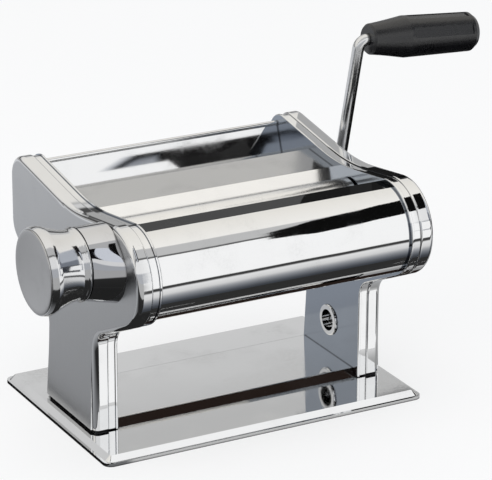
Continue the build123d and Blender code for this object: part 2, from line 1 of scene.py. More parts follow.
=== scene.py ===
# %% [markdown]
# # A hand-cranked pasta roller in polished metal
#
# The machine's pieces come ready made from its construction model, at their real size and place.
# This lesson gives them their finishes, makes four pieces at the knob anew for the eye, and sets
# up a camera, a pale studio and what polished metal needs around it: bright and dark cards to
# mirror. Everything is in metres. X runs along the rollers towards the crank, Y runs from the
# round front cover to the back wall, and Z is up.

# %% Load the machine
import math

import bpy
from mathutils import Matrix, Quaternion, Vector


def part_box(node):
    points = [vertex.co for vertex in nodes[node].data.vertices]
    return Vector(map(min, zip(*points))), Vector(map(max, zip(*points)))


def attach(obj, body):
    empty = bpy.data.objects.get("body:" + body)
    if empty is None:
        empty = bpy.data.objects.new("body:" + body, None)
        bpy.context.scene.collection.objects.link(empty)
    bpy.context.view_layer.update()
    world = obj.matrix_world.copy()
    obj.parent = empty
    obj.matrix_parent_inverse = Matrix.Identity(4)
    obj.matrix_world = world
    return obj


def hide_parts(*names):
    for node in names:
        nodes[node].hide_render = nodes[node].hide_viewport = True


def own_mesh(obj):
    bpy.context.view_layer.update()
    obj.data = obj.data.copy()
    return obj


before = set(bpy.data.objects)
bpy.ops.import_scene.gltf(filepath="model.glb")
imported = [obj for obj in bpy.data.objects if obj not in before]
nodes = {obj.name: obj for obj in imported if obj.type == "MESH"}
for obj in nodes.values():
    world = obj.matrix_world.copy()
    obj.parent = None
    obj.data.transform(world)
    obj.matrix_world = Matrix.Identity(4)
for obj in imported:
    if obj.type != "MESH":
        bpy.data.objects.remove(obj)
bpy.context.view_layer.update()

# %% [markdown]
# ## Camera
#
# The picture was taken with a long lens from the front left, looking down on the machine. A long
# lens keeps parallel edges nearly parallel, which is what the base's edges show. The camera is
# first aimed at a point in the middle of the machine. It is then turned a little right and up, so
# that this point falls left of and below the middle of the picture.

# %% Camera
PICTURE_WIDTH, PICTURE_HEIGHT = 492, 480
FOCAL_PIXELS = 2850.0
AIM_POINT = Vector((0.001, 0.0, 0.0636))
AIM_PIXEL = (213.8, 288.1)
VIEW_TURN, VIEW_DROP = math.radians(27.907), math.radians(21.504)
VIEW_DISTANCE = 1.647
SENSOR_WIDTH = 36.0

camera_data = bpy.data.cameras.new("view_camera")
camera_data.sensor_width = SENSOR_WIDTH
camera_data.lens = FOCAL_PIXELS / PICTURE_WIDTH * SENSOR_WIDTH
camera = bpy.data.objects.new("view_camera", camera_data)
bpy.context.scene.collection.objects.link(camera)
away = Vector((-math.sin(VIEW_TURN) * math.cos(VIEW_DROP), -math.cos(VIEW_TURN) * math.cos(VIEW_DROP),
               math.sin(VIEW_DROP)))
camera.location = AIM_POINT + VIEW_DISTANCE * away
right_turn = math.atan2(PICTURE_WIDTH / 2 - AIM_PIXEL[0], FOCAL_PIXELS)
up_turn = math.atan2(AIM_PIXEL[1] - PICTURE_HEIGHT / 2, FOCAL_PIXELS)
camera.rotation_mode = "QUATERNION"
camera.rotation_quaternion = (away.to_track_quat("Z", "Y") @ Quaternion((0, 1, 0), -right_turn)
                              @ Quaternion((1, 0, 0), up_turn))
bpy.context.scene.camera = camera
print("camera at", [round(v, 3) for v in camera.location], "lens", round(camera_data.lens, 1), "mm")

# %% [markdown]
# ## Helpers for node trees
#
# Every finish below is a small network of nodes. A few helpers keep the cells short: one adds a
# node and sets its values, and others stand for the nodes that come up most: a sum, the parts of a
# vector, the place of a point on its object, and a value carried to another range.

# %% Node helpers


def set_sockets(tree, node, values):
    """Set a node's inputs by name, with _ for a space, or by number as inN. A socket is linked."""
    for name, value in values.items():
        key = int(name[2:]) if name[:2] == "in" and name[2:].isdigit() else name.replace("_", " ")
        if isinstance(value, bpy.types.NodeSocket):
            tree.links.new(value, node.inputs[key])
        else:
            node.inputs[key].default_value = value


def add(tree, kind, properties=None, **values):
    """A new shader node in a tree, with its properties and inputs set."""
    node = tree.nodes.new("ShaderNode" + kind)
    for name, value in (properties or {}).items():
        setattr(node, name, value)
    set_sockets(tree, node, values)
    return node


def calculate(tree, operation, first, second=0.0, third=0.0):
    """The result of a Math node. Its inputs are numbers or sockets."""
    return add(tree, "Math", {"operation": operation}, in0=first, in1=second, in2=third).outputs[0]


def split(tree, vector):
    """A vector's parts, as outputs X, Y and Z."""
    return add(tree, "SeparateXYZ", Vector=vector).outputs


def own_place(tree):
    """Where a point lies, in its object's own space."""
    return add(tree, "TexCoord").outputs["Object"]


def spread(tree, value, low, high, to_low=0.0, to_high=1.0):
    """A value carried from one range to another, eased at both ends."""
    node = add(tree, "MapRange", {"interpolation_type": "SMOOTHSTEP"}, Value=value, From_Min=low,
               From_Max=high, To_Min=to_low, To_Max=to_high)
    return node.outputs["Result"]


# %% [markdown]
# Colours have helpers of their own: a mix of two, a ramp of many, tones along a line, and a grey
# that can be tipped towards cream or blue. The last helper starts a material.

# %% Colour helpers


def blended(tree, share, first, second):
    """A mix of two colours, which are sockets or tuples. The share picks the second."""
    colours = [c if isinstance(c, bpy.types.NodeSocket) else (*c, 1.0) for c in (first, second)]
    return add(tree, "MixRGB", Fac=share, Color1=colours[0], Color2=colours[1]).outputs[0]


def ramp(tree, value, stops):
    """A colour ramp. Each stop is (position, colour)."""
    node = add(tree, "ValToRGB", Fac=value)
    elements = node.color_ramp.elements
    while len(elements) < len(stops):
        elements.new(0.5)
    for element, (position, colour) in zip(elements, stops):
        element.position = position
        element.color = (*colour, 1.0)
    return node.outputs["Color"]


def tones_along(tree, tones, value):
    """The tone at a value, between the first and last places of a list of (place, colour)."""
    start, span = tones[0][0], tones[-1][0] - tones[0][0]
    share = calculate(tree, "DIVIDE", calculate(tree, "SUBTRACT", value, start), span)
    return ramp(tree, share, [((place - start) / span, colour) for place, colour in tones])


def grey(value, warm=0.0):
    """A grey, tipped towards cream by warm or towards blue by a negative warm."""
    return (value * (1 + warm), value, value * (1 - 2 * warm))


def new_finish(name):
    """An empty material and its node tree."""
    finish = bpy.data.materials.new(name)
    finish.use_nodes = True
    finish.node_tree.nodes.clear()
    return finish, finish.node_tree


# %% [markdown]
# ## Sky
#
# Polished metal has hardly any colour of its own: it shows what stands around it. So the sky has
# three faces. The camera sees plain white. Light that falls on the machine is an even pale grey, so
# a colour looks about as it is written. Mirrored rays see bands that run along X, like the walls
# of a studio: grey and dark strips low behind, a wide cream wall above them, a grey strip with a
# dark lower edge, and a pale front that ends in grey. The place of a band is an angle: 0 is level
# behind the machine, 90 is overhead and 180 is level in front.

# %% Sky
SKY_LIGHT, SKY_STRENGTH = (0.95, 0.97, 1.0, 1.0), 0.75
WHITE = (1.0, 1.0, 1.0, 1.0)
HALF_TURN = 180
SKY_BANDS = [
    (0, grey(0.40)), (11, grey(0.40)), (13, grey(0.07)), (19, grey(0.08)), (22, grey(0.66)),
    (25.5, grey(0.66)), (27, grey(0.46)), (30, grey(0.80, 0.02)), (60, grey(0.84, 0.03)),
    (103, grey(0.93, 0.02)), (105, grey(0.55)), (124, grey(0.55)), (125, grey(0.14)),
    (128, grey(0.14)), (129.5, grey(0.85)), (157, grey(0.85)), (160, grey(0.47, -0.03)),
    (HALF_TURN, grey(0.47, -0.03)),
]


def ray_kinds(tree):
    """Two masks: rays that look straight at a thing or through glass, and mirrored rays."""
    path = add(tree, "LightPath").outputs
    looking = calculate(tree, "MAXIMUM", path["Is Camera Ray"], path["Is Transmission Ray"])
    return looking, path["Is Glossy Ray"]


def mixed(tree, share, first, second):
    """A mix of two shaders. The share picks the second."""
    return add(tree, "MixShader", Fac=share, in1=first, in2=second).outputs[0]


scene = bpy.context.scene
scene.view_settings.view_transform = "Standard"
world = bpy.data.worlds.new("studio_sky")
world.use_nodes = True
scene.world = world
tree = world.node_tree
tree.nodes.clear()
heading = split(tree, add(tree, "TexCoord").outputs["Generated"])
band_angle = calculate(tree, "ARCTAN2", heading["Z"], heading["Y"])
stops = [(angle / HALF_TURN, colour) for angle, colour in SKY_BANDS]
bands = ramp(tree, calculate(tree, "DIVIDE", band_angle, math.pi), stops)
sky_light = add(tree, "Background", Color=SKY_LIGHT, Strength=SKY_STRENGTH).outputs[0]
sky_mirrored = add(tree, "Background", Color=bands).outputs[0]
sky_white = add(tree, "Background", Color=WHITE).outputs[0]
looking, mirrored = ray_kinds(tree)
sky = mixed(tree, mirrored, sky_light, sky_mirrored)
add(tree, "OutputWorld", Surface=mixed(tree, looking, sky, sky_white))
print("sky bands:", [angle for angle, _ in SKY_BANDS])

# %% [markdown]
# ## Floor
#
# The floor is one wide flat sheet. It belongs to the studio and not to the machine. A helper makes it, and
# the same helper makes the cards below.

# %% Floor sheet
FLOOR_SIZE = 60.0


def sheet_object(name, corners, faces=((0, 1, 2, 3),)):
    """A flat or folded sheet, for the studio only."""
    mesh = bpy.data.meshes.new(name)
    mesh.from_pydata(corners, [], faces)
    sheet = bpy.data.objects.new(name, mesh)
    scene.collection.objects.link(sheet)
    return sheet


def oblong(left, right, near, far):
    """The four corners of an oblong, in order round it."""
    return [(left, near), (right, near), (right, far), (left, far)]


reach = FLOOR_SIZE / 2
floor = sheet_object("floor", [(x, y, 0.0) for x, y in oblong(-reach, reach, -reach, reach)])
print("floor", FLOOR_SIZE, "m across")

# %% [markdown]
# Its finish works as the sky does. The camera sees a mix of the lit sheet and an even white, so that a soft
# shadow stays under the machine. Mirrored rays see a table: white far in front, then a thin dark line, a
# pale stretch, and a dark stretch right under the round cover, which is painted shade where the machine
# shades the floor. Left of a border the table has other tones, for the knob and the outer left face. The
# knob looks along a slanted line, so the border is slanted in front of the machine.

# %% Floor finish
FLOOR_COLOUR, FLOOR_EVEN_WHITE = (0.93, 0.93, 0.93, 1.0), 0.72
# The dark stretch that ends at -0.09 is painted shade under the round cover.
TABLE_TONES = [
    (-2.0, grey(1.0)), (-0.455, grey(1.0)), (-0.42, grey(0.05)), (-0.34, grey(0.05)),
    (-0.305, grey(0.84)), (-0.225, grey(0.70)), (-0.19, grey(0.34, -0.03)),
    (-0.165, grey(0.18, -0.06)), (-0.14, grey(0.06, -0.10)), (-0.09, grey(0.025)),
    (-0.083, grey(0.80)), (-0.06, grey(0.30)), (0.10, grey(0.52, -0.02)), (0.40, grey(0.56, -0.02)),
    (1.0, grey(0.60)),
]
KNOB_TONES = [
    (-2.0, grey(0.46)), (-0.28, grey(0.46)), (-0.26, grey(0.03)), (-0.12, grey(0.02)),
    (0.0, grey(0.36, -0.02)), (0.15, grey(0.42, -0.02)), (0.35, grey(0.62, -0.02)),
    (1.0, grey(0.66, -0.02)),
]
KNOB_BORDER, KNOB_SLANT, KNOB_FROM_Y = -0.086, 0.45, -0.08
BORDER_SOFT = 0.004

floor_finish, tree = new_finish("pale_floor")
spot = split(tree, own_place(tree))
in_front = calculate(tree, "MINIMUM", calculate(tree, "SUBTRACT", spot["Y"], KNOB_FROM_Y), 0.0)
slanted = calculate(tree, "MULTIPLY_ADD", in_front, KNOB_SLANT, spot["X"])
by_knob = spread(tree, slanted, KNOB_BORDER + BORDER_SOFT, KNOB_BORDER - BORDER_SOFT)
table, knob_table = (tones_along(tree, tones, spot["Y"]) for tones in (TABLE_TONES, KNOB_TONES))
lit = add(tree, "BsdfPrincipled", Base_Color=FLOOR_COLOUR, Roughness=1.0, Specular_IOR_Level=0.0)
even_white = add(tree, "Emission", Color=WHITE).outputs[0]
table_glow = add(tree, "Emission", Color=blended(tree, by_knob, table, knob_table)).outputs[0]
looking, mirrored = ray_kinds(tree)
whitened = calculate(tree, "MULTIPLY", looking, FLOOR_EVEN_WHITE)
look = mixed(tree, whitened, lit.outputs[0], even_white)
add(tree, "OutputMaterial", Surface=mixed(tree, mirrored, look, table_glow))
floor.data.materials.append(floor_finish)
print("table tones:", len(TABLE_TONES), "and by the knob:", len(KNOB_TONES))

# %% [markdown]
# ## Lamps
#
# Two large soft lamps, above and to the left, give the plastic and rubber pieces a gentle light
# side and the floor its soft shadow. Mirrored rays pass them by, because the metal has its own
# cards.

# %% Lamps
# Each lamp has its place, its size and its power in watts.
LAMPS = {"top_lamp": ((-0.3, -0.3, 1.9), 1.2, 9.0), "left_lamp": ((-1.8, -0.9, 1.2), 1.0, 6.0)}


def soft_lamp(name, where, size, power):
    """A large square lamp that faces the machine."""
    data = bpy.data.lights.new(name, "AREA")
    data.size = size
    data.energy = power
    lamp = bpy.data.objects.new(name, data)
    lamp.location = where
    lamp.rotation_mode = "QUATERNION"
    lamp.rotation_quaternion = (Vector(where) - AIM_POINT).to_track_quat("Z", "Y")
    lamp.visible_glossy = False
    scene.collection.objects.link(lamp)


for name, (where, size, power) in LAMPS.items():
    soft_lamp(name, where, size, power)
print("lamps:", list(LAMPS))

# %% [markdown]
# ## Cards for the metal to mirror
#
# A photographer sets white and black cards beside polished metal. The round front cover and the
# knob's collar lie along X, so a card that runs along X makes a straight band on them. The sky's
# bands are endlessly far away, and look the same along the whole cover. A card close by can end at
# a place along X, or taper: the black wedge on the cover is such a card. Each big card bends round
# the cover's axis, so that its ends stay square to the cover. Only mirrored rays see the cards:
# they neither light the machine nor show in the picture.

# %% Round cards
CARD_AXIS_Y, CARD_AXIS_Z = -0.063, 0.1085
CARD_STEPS = 8
BLACK = grey(0.004)
FAR = 1.05
# Each card has its distance from the axis, its tone and its stations.
ROUND_CARDS = {
    "front_softbox": (1.10, grey(1.0), [(0.400, 129, 184), (0.70, 129, 184)]),
    "wedge_flag": (FAR, BLACK, [(0.515, 118, 134), (0.575, 107, 140), (0.69, 92, 130), (1.0, 88, 130)]),
    "knob_card": (FAR, grey(0.50, -0.05), [(1.02, 98, 140), (4.5, 98, 140)]),
    "knob_shade": (FAR, grey(0.22, -0.08), [(1.02, 140, 158), (4.5, 140, 158)]),
    "knob_flag": (FAR, grey(0.05, -0.08), [(1.02, 158, 185), (4.5, 158, 185)]),
}


def mirrored_only(card, tone):
    """Give a card an even glow that only mirrored rays see. Its tree and glow can be built on."""
    finish, tree = new_finish(card.name)
    glow = add(tree, "Emission", Color=(*tone, 1.0))
    add(tree, "OutputMaterial", Surface=glow.outputs[0])
    card.data.materials.append(finish)
    card.visible_camera = False
    card.visible_diffuse = False
    card.visible_shadow = False
    card.visible_transmission = False
    return tree, glow


def round_card(name, distance, tone, stations, lean=0.0):
    """A card bent round the front cover's axis. Each station is (x, first angle, last angle).

    Lean is how far along X the last angle's edge lies from the first's.
    """
    corners = []
    for x, first, last in stations:
        for step in range(CARD_STEPS + 1):
            angle = math.radians(first + (last - first) * step / CARD_STEPS)
            corners.append((x + lean * step / CARD_STEPS, CARD_AXIS_Y + distance * math.cos(angle),
                            CARD_AXIS_Z + distance * math.sin(angle)))
    row = CARD_STEPS + 1
    faces = [(s * row + k, s * row + k + 1, (s + 1) * row + k + 1, (s + 1) * row + k)
             for s in range(len(stations) - 1) for k in range(CARD_STEPS)]
    mirrored_only(sheet_object(name, corners, faces), tone)


for name, card in ROUND_CARDS.items():
    round_card(name, *card)
print("round cards:", list(ROUND_CARDS))

# %% [markdown]
# Three small cards hang close to the collar, where only the collar and the knob see them: a pale
# one between two black ones, which gives the collar a bright window with dark sides. They lean
# along X, because the camera looks at the collar aslant.

# %% Cards at the collar
NEAR, BEHIND = 0.060, 0.0001
# Each card has its distance from the axis, its tone, its stations and its lean.
COLLAR_CARDS = {
    "collar_flag_left": (NEAR, grey(0.005), [(-0.096, 113, 138), (-0.0899, 113, 138)], -0.0058),
    "collar_flag_right": (NEAR, grey(0.005), [(-0.0815, 108, 138), (-0.0750, 108, 138)], -0.0075),
    "collar_card": (NEAR + BEHIND, grey(0.80, -0.04), [(-0.0905, 113, 138), (-0.0805, 113, 138)], -0.0062),
}
for name, card in COLLAR_CARDS.items():
    round_card(name, *card)
print("cards at the collar:", list(COLLAR_CARDS))

# %% [markdown]
# A black card floats over the rollers: the back wall leans back, mirrors the softbox, and shows this
# card as a black shape. Its left end is soft: a slanted dark edge with a blue-grey patch inside it,
# as a thing out of focus would give. So the tone follows the distance past that edge, and turns to
# black above the patch and right of it. A second black card continues it downwards.

# %% Black cards over the rollers
TROUGH_CARD_Y = -0.02
TROUGH_LOW, TROUGH_HIGH, TROUGH_FOOT = 0.1505, 0.1575, 0.134
EDGE_LEAN, EDGE_AT_X, EDGE_AT_Z = 2.7, 0.025, 0.158
EDGE_TONES = [
    (-0.012, grey(1.0)), (-0.005, grey(0.55, -0.03)), (0.001, grey(0.03, -0.08)),
    (0.004, grey(0.03, -0.08)), (0.010, grey(0.26, -0.06)), (0.030, grey(0.36, -0.04)),
]
PATCH_TOP, PATCH_END, PATCH_SOFT = 0.1545, 0.036, 0.004
FLAG_OUTLINE = [(-0.010, TROUGH_LOW), (0.1245, TROUGH_LOW), (0.1225, TROUGH_HIGH), (0.0, TROUGH_HIGH)]
FOOT_OUTLINE = [(0.058, TROUGH_FOOT), (0.128, TROUGH_FOOT), (0.1245, TROUGH_LOW), (0.043, TROUGH_LOW)]


def upright_card(name, y, outline, tone):
    """A flat card at one place along Y, with an outline in X and Z."""
    card = sheet_object(name, [(x, y, z) for x, z in outline], [tuple(range(len(outline)))])
    return mirrored_only(card, tone)


tree, glow = upright_card("trough_flag", TROUGH_CARD_Y, FLAG_OUTLINE, BLACK)
spot = split(tree, own_place(tree))
lean = calculate(tree, "MULTIPLY_ADD", spot["Z"], -EDGE_LEAN, EDGE_LEAN * EDGE_AT_Z - EDGE_AT_X)
past_edge = calculate(tree, "ADD", spot["X"], lean)
above = spread(tree, spot["Z"], PATCH_TOP - PATCH_SOFT / 2, PATCH_TOP + PATCH_SOFT / 2)
inside = calculate(tree, "MULTIPLY", above, spread(tree, past_edge, 0.0, PATCH_SOFT))
right_of = spread(tree, spot["X"], PATCH_END - PATCH_SOFT, PATCH_END + PATCH_SOFT)
black_share = calculate(tree, "MAXIMUM", inside, right_of)
soft_edge = tones_along(tree, EDGE_TONES, past_edge)
set_sockets(tree, glow, {"Color": blended(tree, black_share, soft_edge, BLACK)})
upright_card("trough_foot_flag", TROUGH_CARD_Y, FOOT_OUTLINE, grey(0.012))
print("black cards:", TROUGH_FOOT, "to", TROUGH_HIGH, "m high")

# %% [markdown]
# Two white cards stand before the legs, too low for the round cover to see, and whiten the legs'
# fronts. A grey one stands behind the right frame, and greys its top edge.

# %% Cards at the legs and the right frame
LEGS = {"left_leg": (-0.075, -0.035), "right_leg": (0.095, 0.140)}
LEG_CARD_Y, LEG_CARD_TOP = -0.092, 0.052
FRAME_CARD_Y, FRAME_CARD = 0.10, oblong(0.117, 0.20, 0.135, 0.25)

upright_card("right_frame_card", FRAME_CARD_Y, FRAME_CARD, grey(0.42))
for leg, (left, right) in LEGS.items():
    upright_card(leg + "_card", LEG_CARD_Y, oblong(left, right, 0.0, LEG_CARD_TOP), grey(1.0))
print("cards before:", list(LEGS))

# %% [markdown]
# Level cards lie low, in front of the base and beside it. A white one brightens the base's bevelled
# front edge, with a dark one on top of it, so that the cover's underside stays dark. A dark brown
# one blackens the front of the bridge between the legs, and a dark one under the collar darkens its
# lower side. White strips on the floor before the legs keep the legs' fronts bright down to the
# base, and a dark strip along the base's left side gives its edge a dark line.

# %% Level cards
LIFT = 0.0002
BASE_CARD_Z, BASE_CARD = 0.050, (-0.12, 0.17, -0.108, -0.080)
BRIDGE_CARD_Z = 0.060
LEG_FLOOR = (-0.095, -0.079)
# Each card has its height, its left, right, front and back, and its tone.
LEVEL_CARDS = {
    "base_card": (BASE_CARD_Z, BASE_CARD, grey(1.0)),
    "base_card_lid": (BASE_CARD_Z + LIFT, BASE_CARD, grey(0.03)),
    "bridge_flag": (BRIDGE_CARD_Z, (-0.10, 0.12, -0.068, -0.045), (0.018, 0.012, 0.010)),
    "collar_flag": (BRIDGE_CARD_Z + LIFT, (-0.125, -0.068, -0.100, -0.045), grey(0.02)),
    "left_leg_floor": (LIFT, LEGS["left_leg"] + LEG_FLOOR, grey(1.0)),
    "right_leg_floor": (LIFT, LEGS["right_leg"] + LEG_FLOOR, grey(1.0)),
    "base_side_flag": (LIFT, (-0.108, -0.102, -0.075, 0.10), grey(0.01)),
}


def level_card(name, z, edges, tone):
    """A flat card at one height."""
    mirrored_only(sheet_object(name, [(x, y, z) for x, y in oblong(*edges)]), tone)


for name, card in LEVEL_CARDS.items():
    level_card(name, *card)
print("level cards:", list(LEVEL_CARDS))

# %% [markdown]
# A black card under the grip darkens its lower facets, and a white one far in front lights the
# others. The last card is square to the rollers, at the right frame, and darkens the end of the
# tray's lip.

# %% Cards at the grip and the tray's end
GRIP_FLAG_Z, GRIP_FLAG = 0.100, (0.125, 0.36, -0.10, 0.12)
GRIP_CARD_Y, GRIP_CARD = -0.50, oblong(0.28, 0.70, 0.13, 0.26)
END_FLAG_X = 0.0785
END_FLAG = [(-0.045, 0.128), (0.02, 0.128), (0.02, 0.1435), (-0.045, 0.152)]

level_card("grip_flag", GRIP_FLAG_Z, GRIP_FLAG, grey(0.0))
upright_card("grip_card", GRIP_CARD_Y, GRIP_CARD, grey(1.0))
mirrored_only(sheet_object("end_flag", [(END_FLAG_X, y, z) for y, z in END_FLAG]), grey(0.02))

# %% [markdown]
# ## Effects that several finishes share
#
# Real metal is never the same all over. Each effect is a node group, built once and placed in
# every finish that needs it, with its own values. The first is handling: broad, faint smears with
# a finer break-up, which dull the shine a little.

# %% Handling marks
SMEAR_DETAIL, SMEAR_FROM, SMEAR_FULL = 3.0, 0.46, 0.72
SPECKS_PER_SMEAR, SPECK_FROM, SPECK_FULL, SPECK_LEAST = 14.0, 0.30, 0.75, 0.4


def effect(name, inputs, outputs):
    """A new node group: its tree, its inputs to read and its outputs to feed."""
    group = bpy.data.node_groups.new(name, "ShaderNodeTree")
    for label, value in inputs.items():
        kind = "NodeSocketFloat" if isinstance(value, float) else "NodeSocketVector"
        group.interface.new_socket(label, in_out="INPUT", socket_type=kind).default_value = value
    for label in outputs:
        group.interface.new_socket(label, in_out="OUTPUT", socket_type="NodeSocketFloat")
    return group, group.nodes.new("NodeGroupInput").outputs, group.nodes.new("NodeGroupOutput")


def place(tree, group, **values):
    """Place an effect in a finish, and give its outputs."""
    node = tree.nodes.new("ShaderNodeGroup")
    node.node_tree = group
    set_sockets(tree, node, values)
    return node.outputs


def noise(tree, where, scale, detail=2.0):
    """A soft random value from 0 to 1."""
    return add(tree, "TexNoise", Vector=where, Scale=scale, Detail=detail).outputs["Fac"]


handling_marks, given, result = effect("handling_marks", {"Scale": 45.0}, ["Marks"])
where = own_place(handling_marks)
smears = noise(handling_marks, where, given["Scale"], SMEAR_DETAIL)
speck_scale = calculate(handling_marks, "MULTIPLY", given["Scale"], SPECKS_PER_SMEAR)
specks = noise(handling_marks, where, speck_scale)
broad = spread(handling_marks, smears, SMEAR_FROM, SMEAR_FULL)
fine = spread(handling_marks, specks, SPECK_FROM, SPECK_FULL, to_low=SPECK_LEAST)
set_sockets(handling_marks, result, {"Marks": calculate(handling_marks, "MULTIPLY", broad, fine)})
print("effect:", handling_marks.name)

# %% [markdown]
# Pressed sheet is never quite flat, and its mirror image wavers. A slow noise gives the height of
# these waves.

# %% Pressed waves
WAVE_DETAIL = 1.0

pressed_waves, given, result = effect("pressed_waves", {"Scale": 20.0}, ["Height"])
waves = noise(pressed_waves, own_place(pressed_waves), given["Scale"], WAVE_DETAIL)
set_sockets(pressed_waves, result, {"Height": waves})
print("effect:", pressed_waves.name)

# %% [markdown]
# Drawn, rolled and ground metal has fine straight lines. A noise that is stretched along one
# direction makes them: the Stretch input says how many changes there are in a metre each way.

# %% Drawn lines
LINE_DETAIL = 3.0


def calculate_vector(tree, operation, output="Vector", **inputs):
    """The result of a Vector Math node. Its inputs are in0 and in1."""
    return add(tree, "VectorMath", {"operation": operation}, **inputs).outputs[output]


drawn_lines, given, result = effect("drawn_lines", {"Stretch": (40.0, 4000.0, 4000.0)}, ["Lines"])
stretched = calculate_vector(drawn_lines, "MULTIPLY", in0=own_place(drawn_lines), in1=given["Stretch"])
set_sockets(drawn_lines, result, {"Lines": noise(drawn_lines, stretched, 1.0, LINE_DETAIL)})
print("effect:", drawn_lines.name)

# %% [markdown]
# A face that was turned on a lathe has rings instead. The distance from an axis along X, through
# the Centre, takes the place of a straight direction.

# %% Turned rings
turned_rings, given, result = effect("turned_rings", {"Centre": (0.0, 0.0, 0.0),
                                                      "Rings per metre": 4000.0}, ["Rings"])
off_centre = calculate_vector(turned_rings, "SUBTRACT", in0=own_place(turned_rings), in1=given["Centre"])
across = calculate_vector(turned_rings, "MULTIPLY", in0=off_centre, in1=(0.0, 1.0, 1.0))
radius = calculate_vector(turned_rings, "LENGTH", "Value", in0=across)
count = calculate(turned_rings, "MULTIPLY", radius, given["Rings per metre"])
rings = add(turned_rings, "TexNoise", {"noise_dimensions": "1D"}, W=count, Scale=1.0, Detail=LINE_DETAIL)
set_sockets(turned_rings, result, {"Rings": rings.outputs["Fac"]})
print("effect:", turned_rings.name)

# %% [markdown]
# Sintered and plated surfaces are mottled in small patches, and moulded plastic and rubber have a
# fine leathery grain. Cells make both: one output is a random tone for each cell, and the other is
# the height of its rounded middle.

# %% Cell grain
cell_grain, given, result = effect("cell_grain", {"Scale": 1500.0}, ["Tone", "Height"])
cells = add(cell_grain, "TexVoronoi", {"feature": "SMOOTH_F1"}, Vector=own_place(cell_grain),
            Scale=given["Scale"]).outputs
cell_tone = add(cell_grain, "SeparateColor", Color=cells["Color"]).outputs[0]
cell_height = calculate(cell_grain, "SUBTRACT", 1.0, cells["Distance"])
set_sockets(cell_grain, result, {"Tone": cell_tone, "Height": cell_height})
print("effect:", cell_grain.name)

# %% [markdown]
# Edges take the knocks. The Bevel node turns the surface's direction near an edge, so where it
# differs from the true direction there is an edge. A noise breaks the line up.

# %% Edge wear
EDGE_FROM, EDGE_FULL = 0.995, 0.86
BREAK_FROM, BREAK_FULL = 0.35, 0.65

edge_wear, given, result = effect("edge_wear", {"Width": 0.0006, "Scale": 400.0}, ["Edge"])
rounded = add(edge_wear, "Bevel", {"samples": 4}, Radius=given["Width"]).outputs[0]
straight = add(edge_wear, "NewGeometry").outputs["Normal"]
same = calculate_vector(edge_wear, "DOT_PRODUCT", "Value", in0=rounded, in1=straight)
near_edge = spread(edge_wear, same, EDGE_FROM, EDGE_FULL)
broken = spread(edge_wear, noise(edge_wear, own_place(edge_wear), given["Scale"]), BREAK_FROM, BREAK_FULL)
set_sockets(edge_wear, result, {"Edge": calculate(edge_wear, "MULTIPLY", near_edge, broken)})
print("effect:", edge_wear.name)

# %% [markdown]
# Thin dark lines of painted shade are laid where pieces meet: where near surfaces shade a point, the colour
# there is darkened.

# %% Painted seam shade
OPEN_FROM, OPEN_LEAST = 0.88, 0.50

# Painted shade: occlusion by near surfaces darkens the colour in corners and seams.
painted_seam_shade, given, result = effect("painted_seam_shade", {"Width": 0.0018}, ["Grime"])
open_air = add(painted_seam_shade, "AmbientOcclusion", {"samples": 8}, Distance=given["Width"]).outputs["AO"]
set_sockets(painted_seam_shade, result, {"Grime": spread(painted_seam_shade, open_air, OPEN_FROM, OPEN_LEAST)})
print("effect:", painted_seam_shade.name)

# %% [markdown]
# ## Polished metal
#
# Most of the machine is chromed or polished. One helper starts such a finish: a bare metal whose handling
# marks change its tone and dull its shine, and whose corners are darkened a little with painted shade. Two
# more build on it: one raises a height, and one adds roughness.

# %% Metal helpers
MARK_TONE = 0.93
# The share and colour of the painted shade in corners.
SEAM_SHADE_SHARE, SEAM_SHADE_COLOUR = 0.85, (0.045, 0.042, 0.040)


def bare_metal(name, colour, shine, smear, marks_scale=45.0):
    """A metal with handling marks: the material, its tree and its shader.

    Shine is the roughness where it is clean, and smear is what the marks add to it.
    """
    finish, tree = new_finish(name)
    marks = place(tree, handling_marks, Scale=marks_scale)["Marks"]
    # Painted shade: corners that near surfaces shade are darkened towards a dark brown.
    corner_shade = calculate(tree, "MULTIPLY", place(tree, painted_seam_shade)["Grime"], SEAM_SHADE_SHARE)
    tone = blended(tree, marks, colour, [MARK_TONE * channel for channel in colour])
    tone = blended(tree, corner_shade, tone, SEAM_SHADE_COLOUR)
    rough = calculate(tree, "MULTIPLY_ADD", marks, smear, shine)
    shader = add(tree, "BsdfPrincipled", Base_Color=tone, Metallic=1.0, Roughness=rough)
    add(tree, "OutputMaterial", Surface=shader.outputs[0])
    return finish, tree, shader


def raise_height(tree, shader, height, step):
    """Raise a height on a finish, on top of any that it has."""
    node = add(tree, "Bump", Height=height, Distance=step)
    socket = shader.inputs["Normal"]
    if socket.links:
        tree.links.new(socket.links[0].from_socket, node.inputs["Normal"])
    tree.links.new(node.outputs[0], socket)


def add_rough(tree, shader, value, amount):
    """Add a share of a value to a finish's roughness."""
    socket = shader.inputs["Roughness"]
    rough = calculate(tree, "MULTIPLY_ADD", value, amount, socket.links[0].from_socket)
    tree.links.new(rough, socket)


# %% [markdown]
# The round cover is plated over polished steel: nearly a mirror, with the faintest orange peel. The
# crank is drawn bar, plated as it comes, so its image is blurred. The knob and its collar are buffed
# castings, a little darker, with a slow waver. Two helpers place the waves and the lines.

# %% Polished chrome
CHROME_COLOUR = (0.885, 0.89, 0.895)


def waver(tree, shader, scale, step):
    """Give a finish slow waves."""
    raise_height(tree, shader, place(tree, pressed_waves, Scale=scale)["Height"], step)


def line(tree, shader, stretch, step, rough):
    """Give a finish fine lines: their stretch, their height and what they add to the roughness."""
    lines = place(tree, drawn_lines, Stretch=stretch)["Lines"]
    add_rough(tree, shader, lines, rough)
    raise_height(tree, shader, lines, step)


chrome, tree, shader = bare_metal("polished_chrome", CHROME_COLOUR, shine=0.03, smear=0.07)
waver(tree, shader, scale=26.0, step=0.0002)
waver(tree, shader, scale=520.0, step=0.0000025)

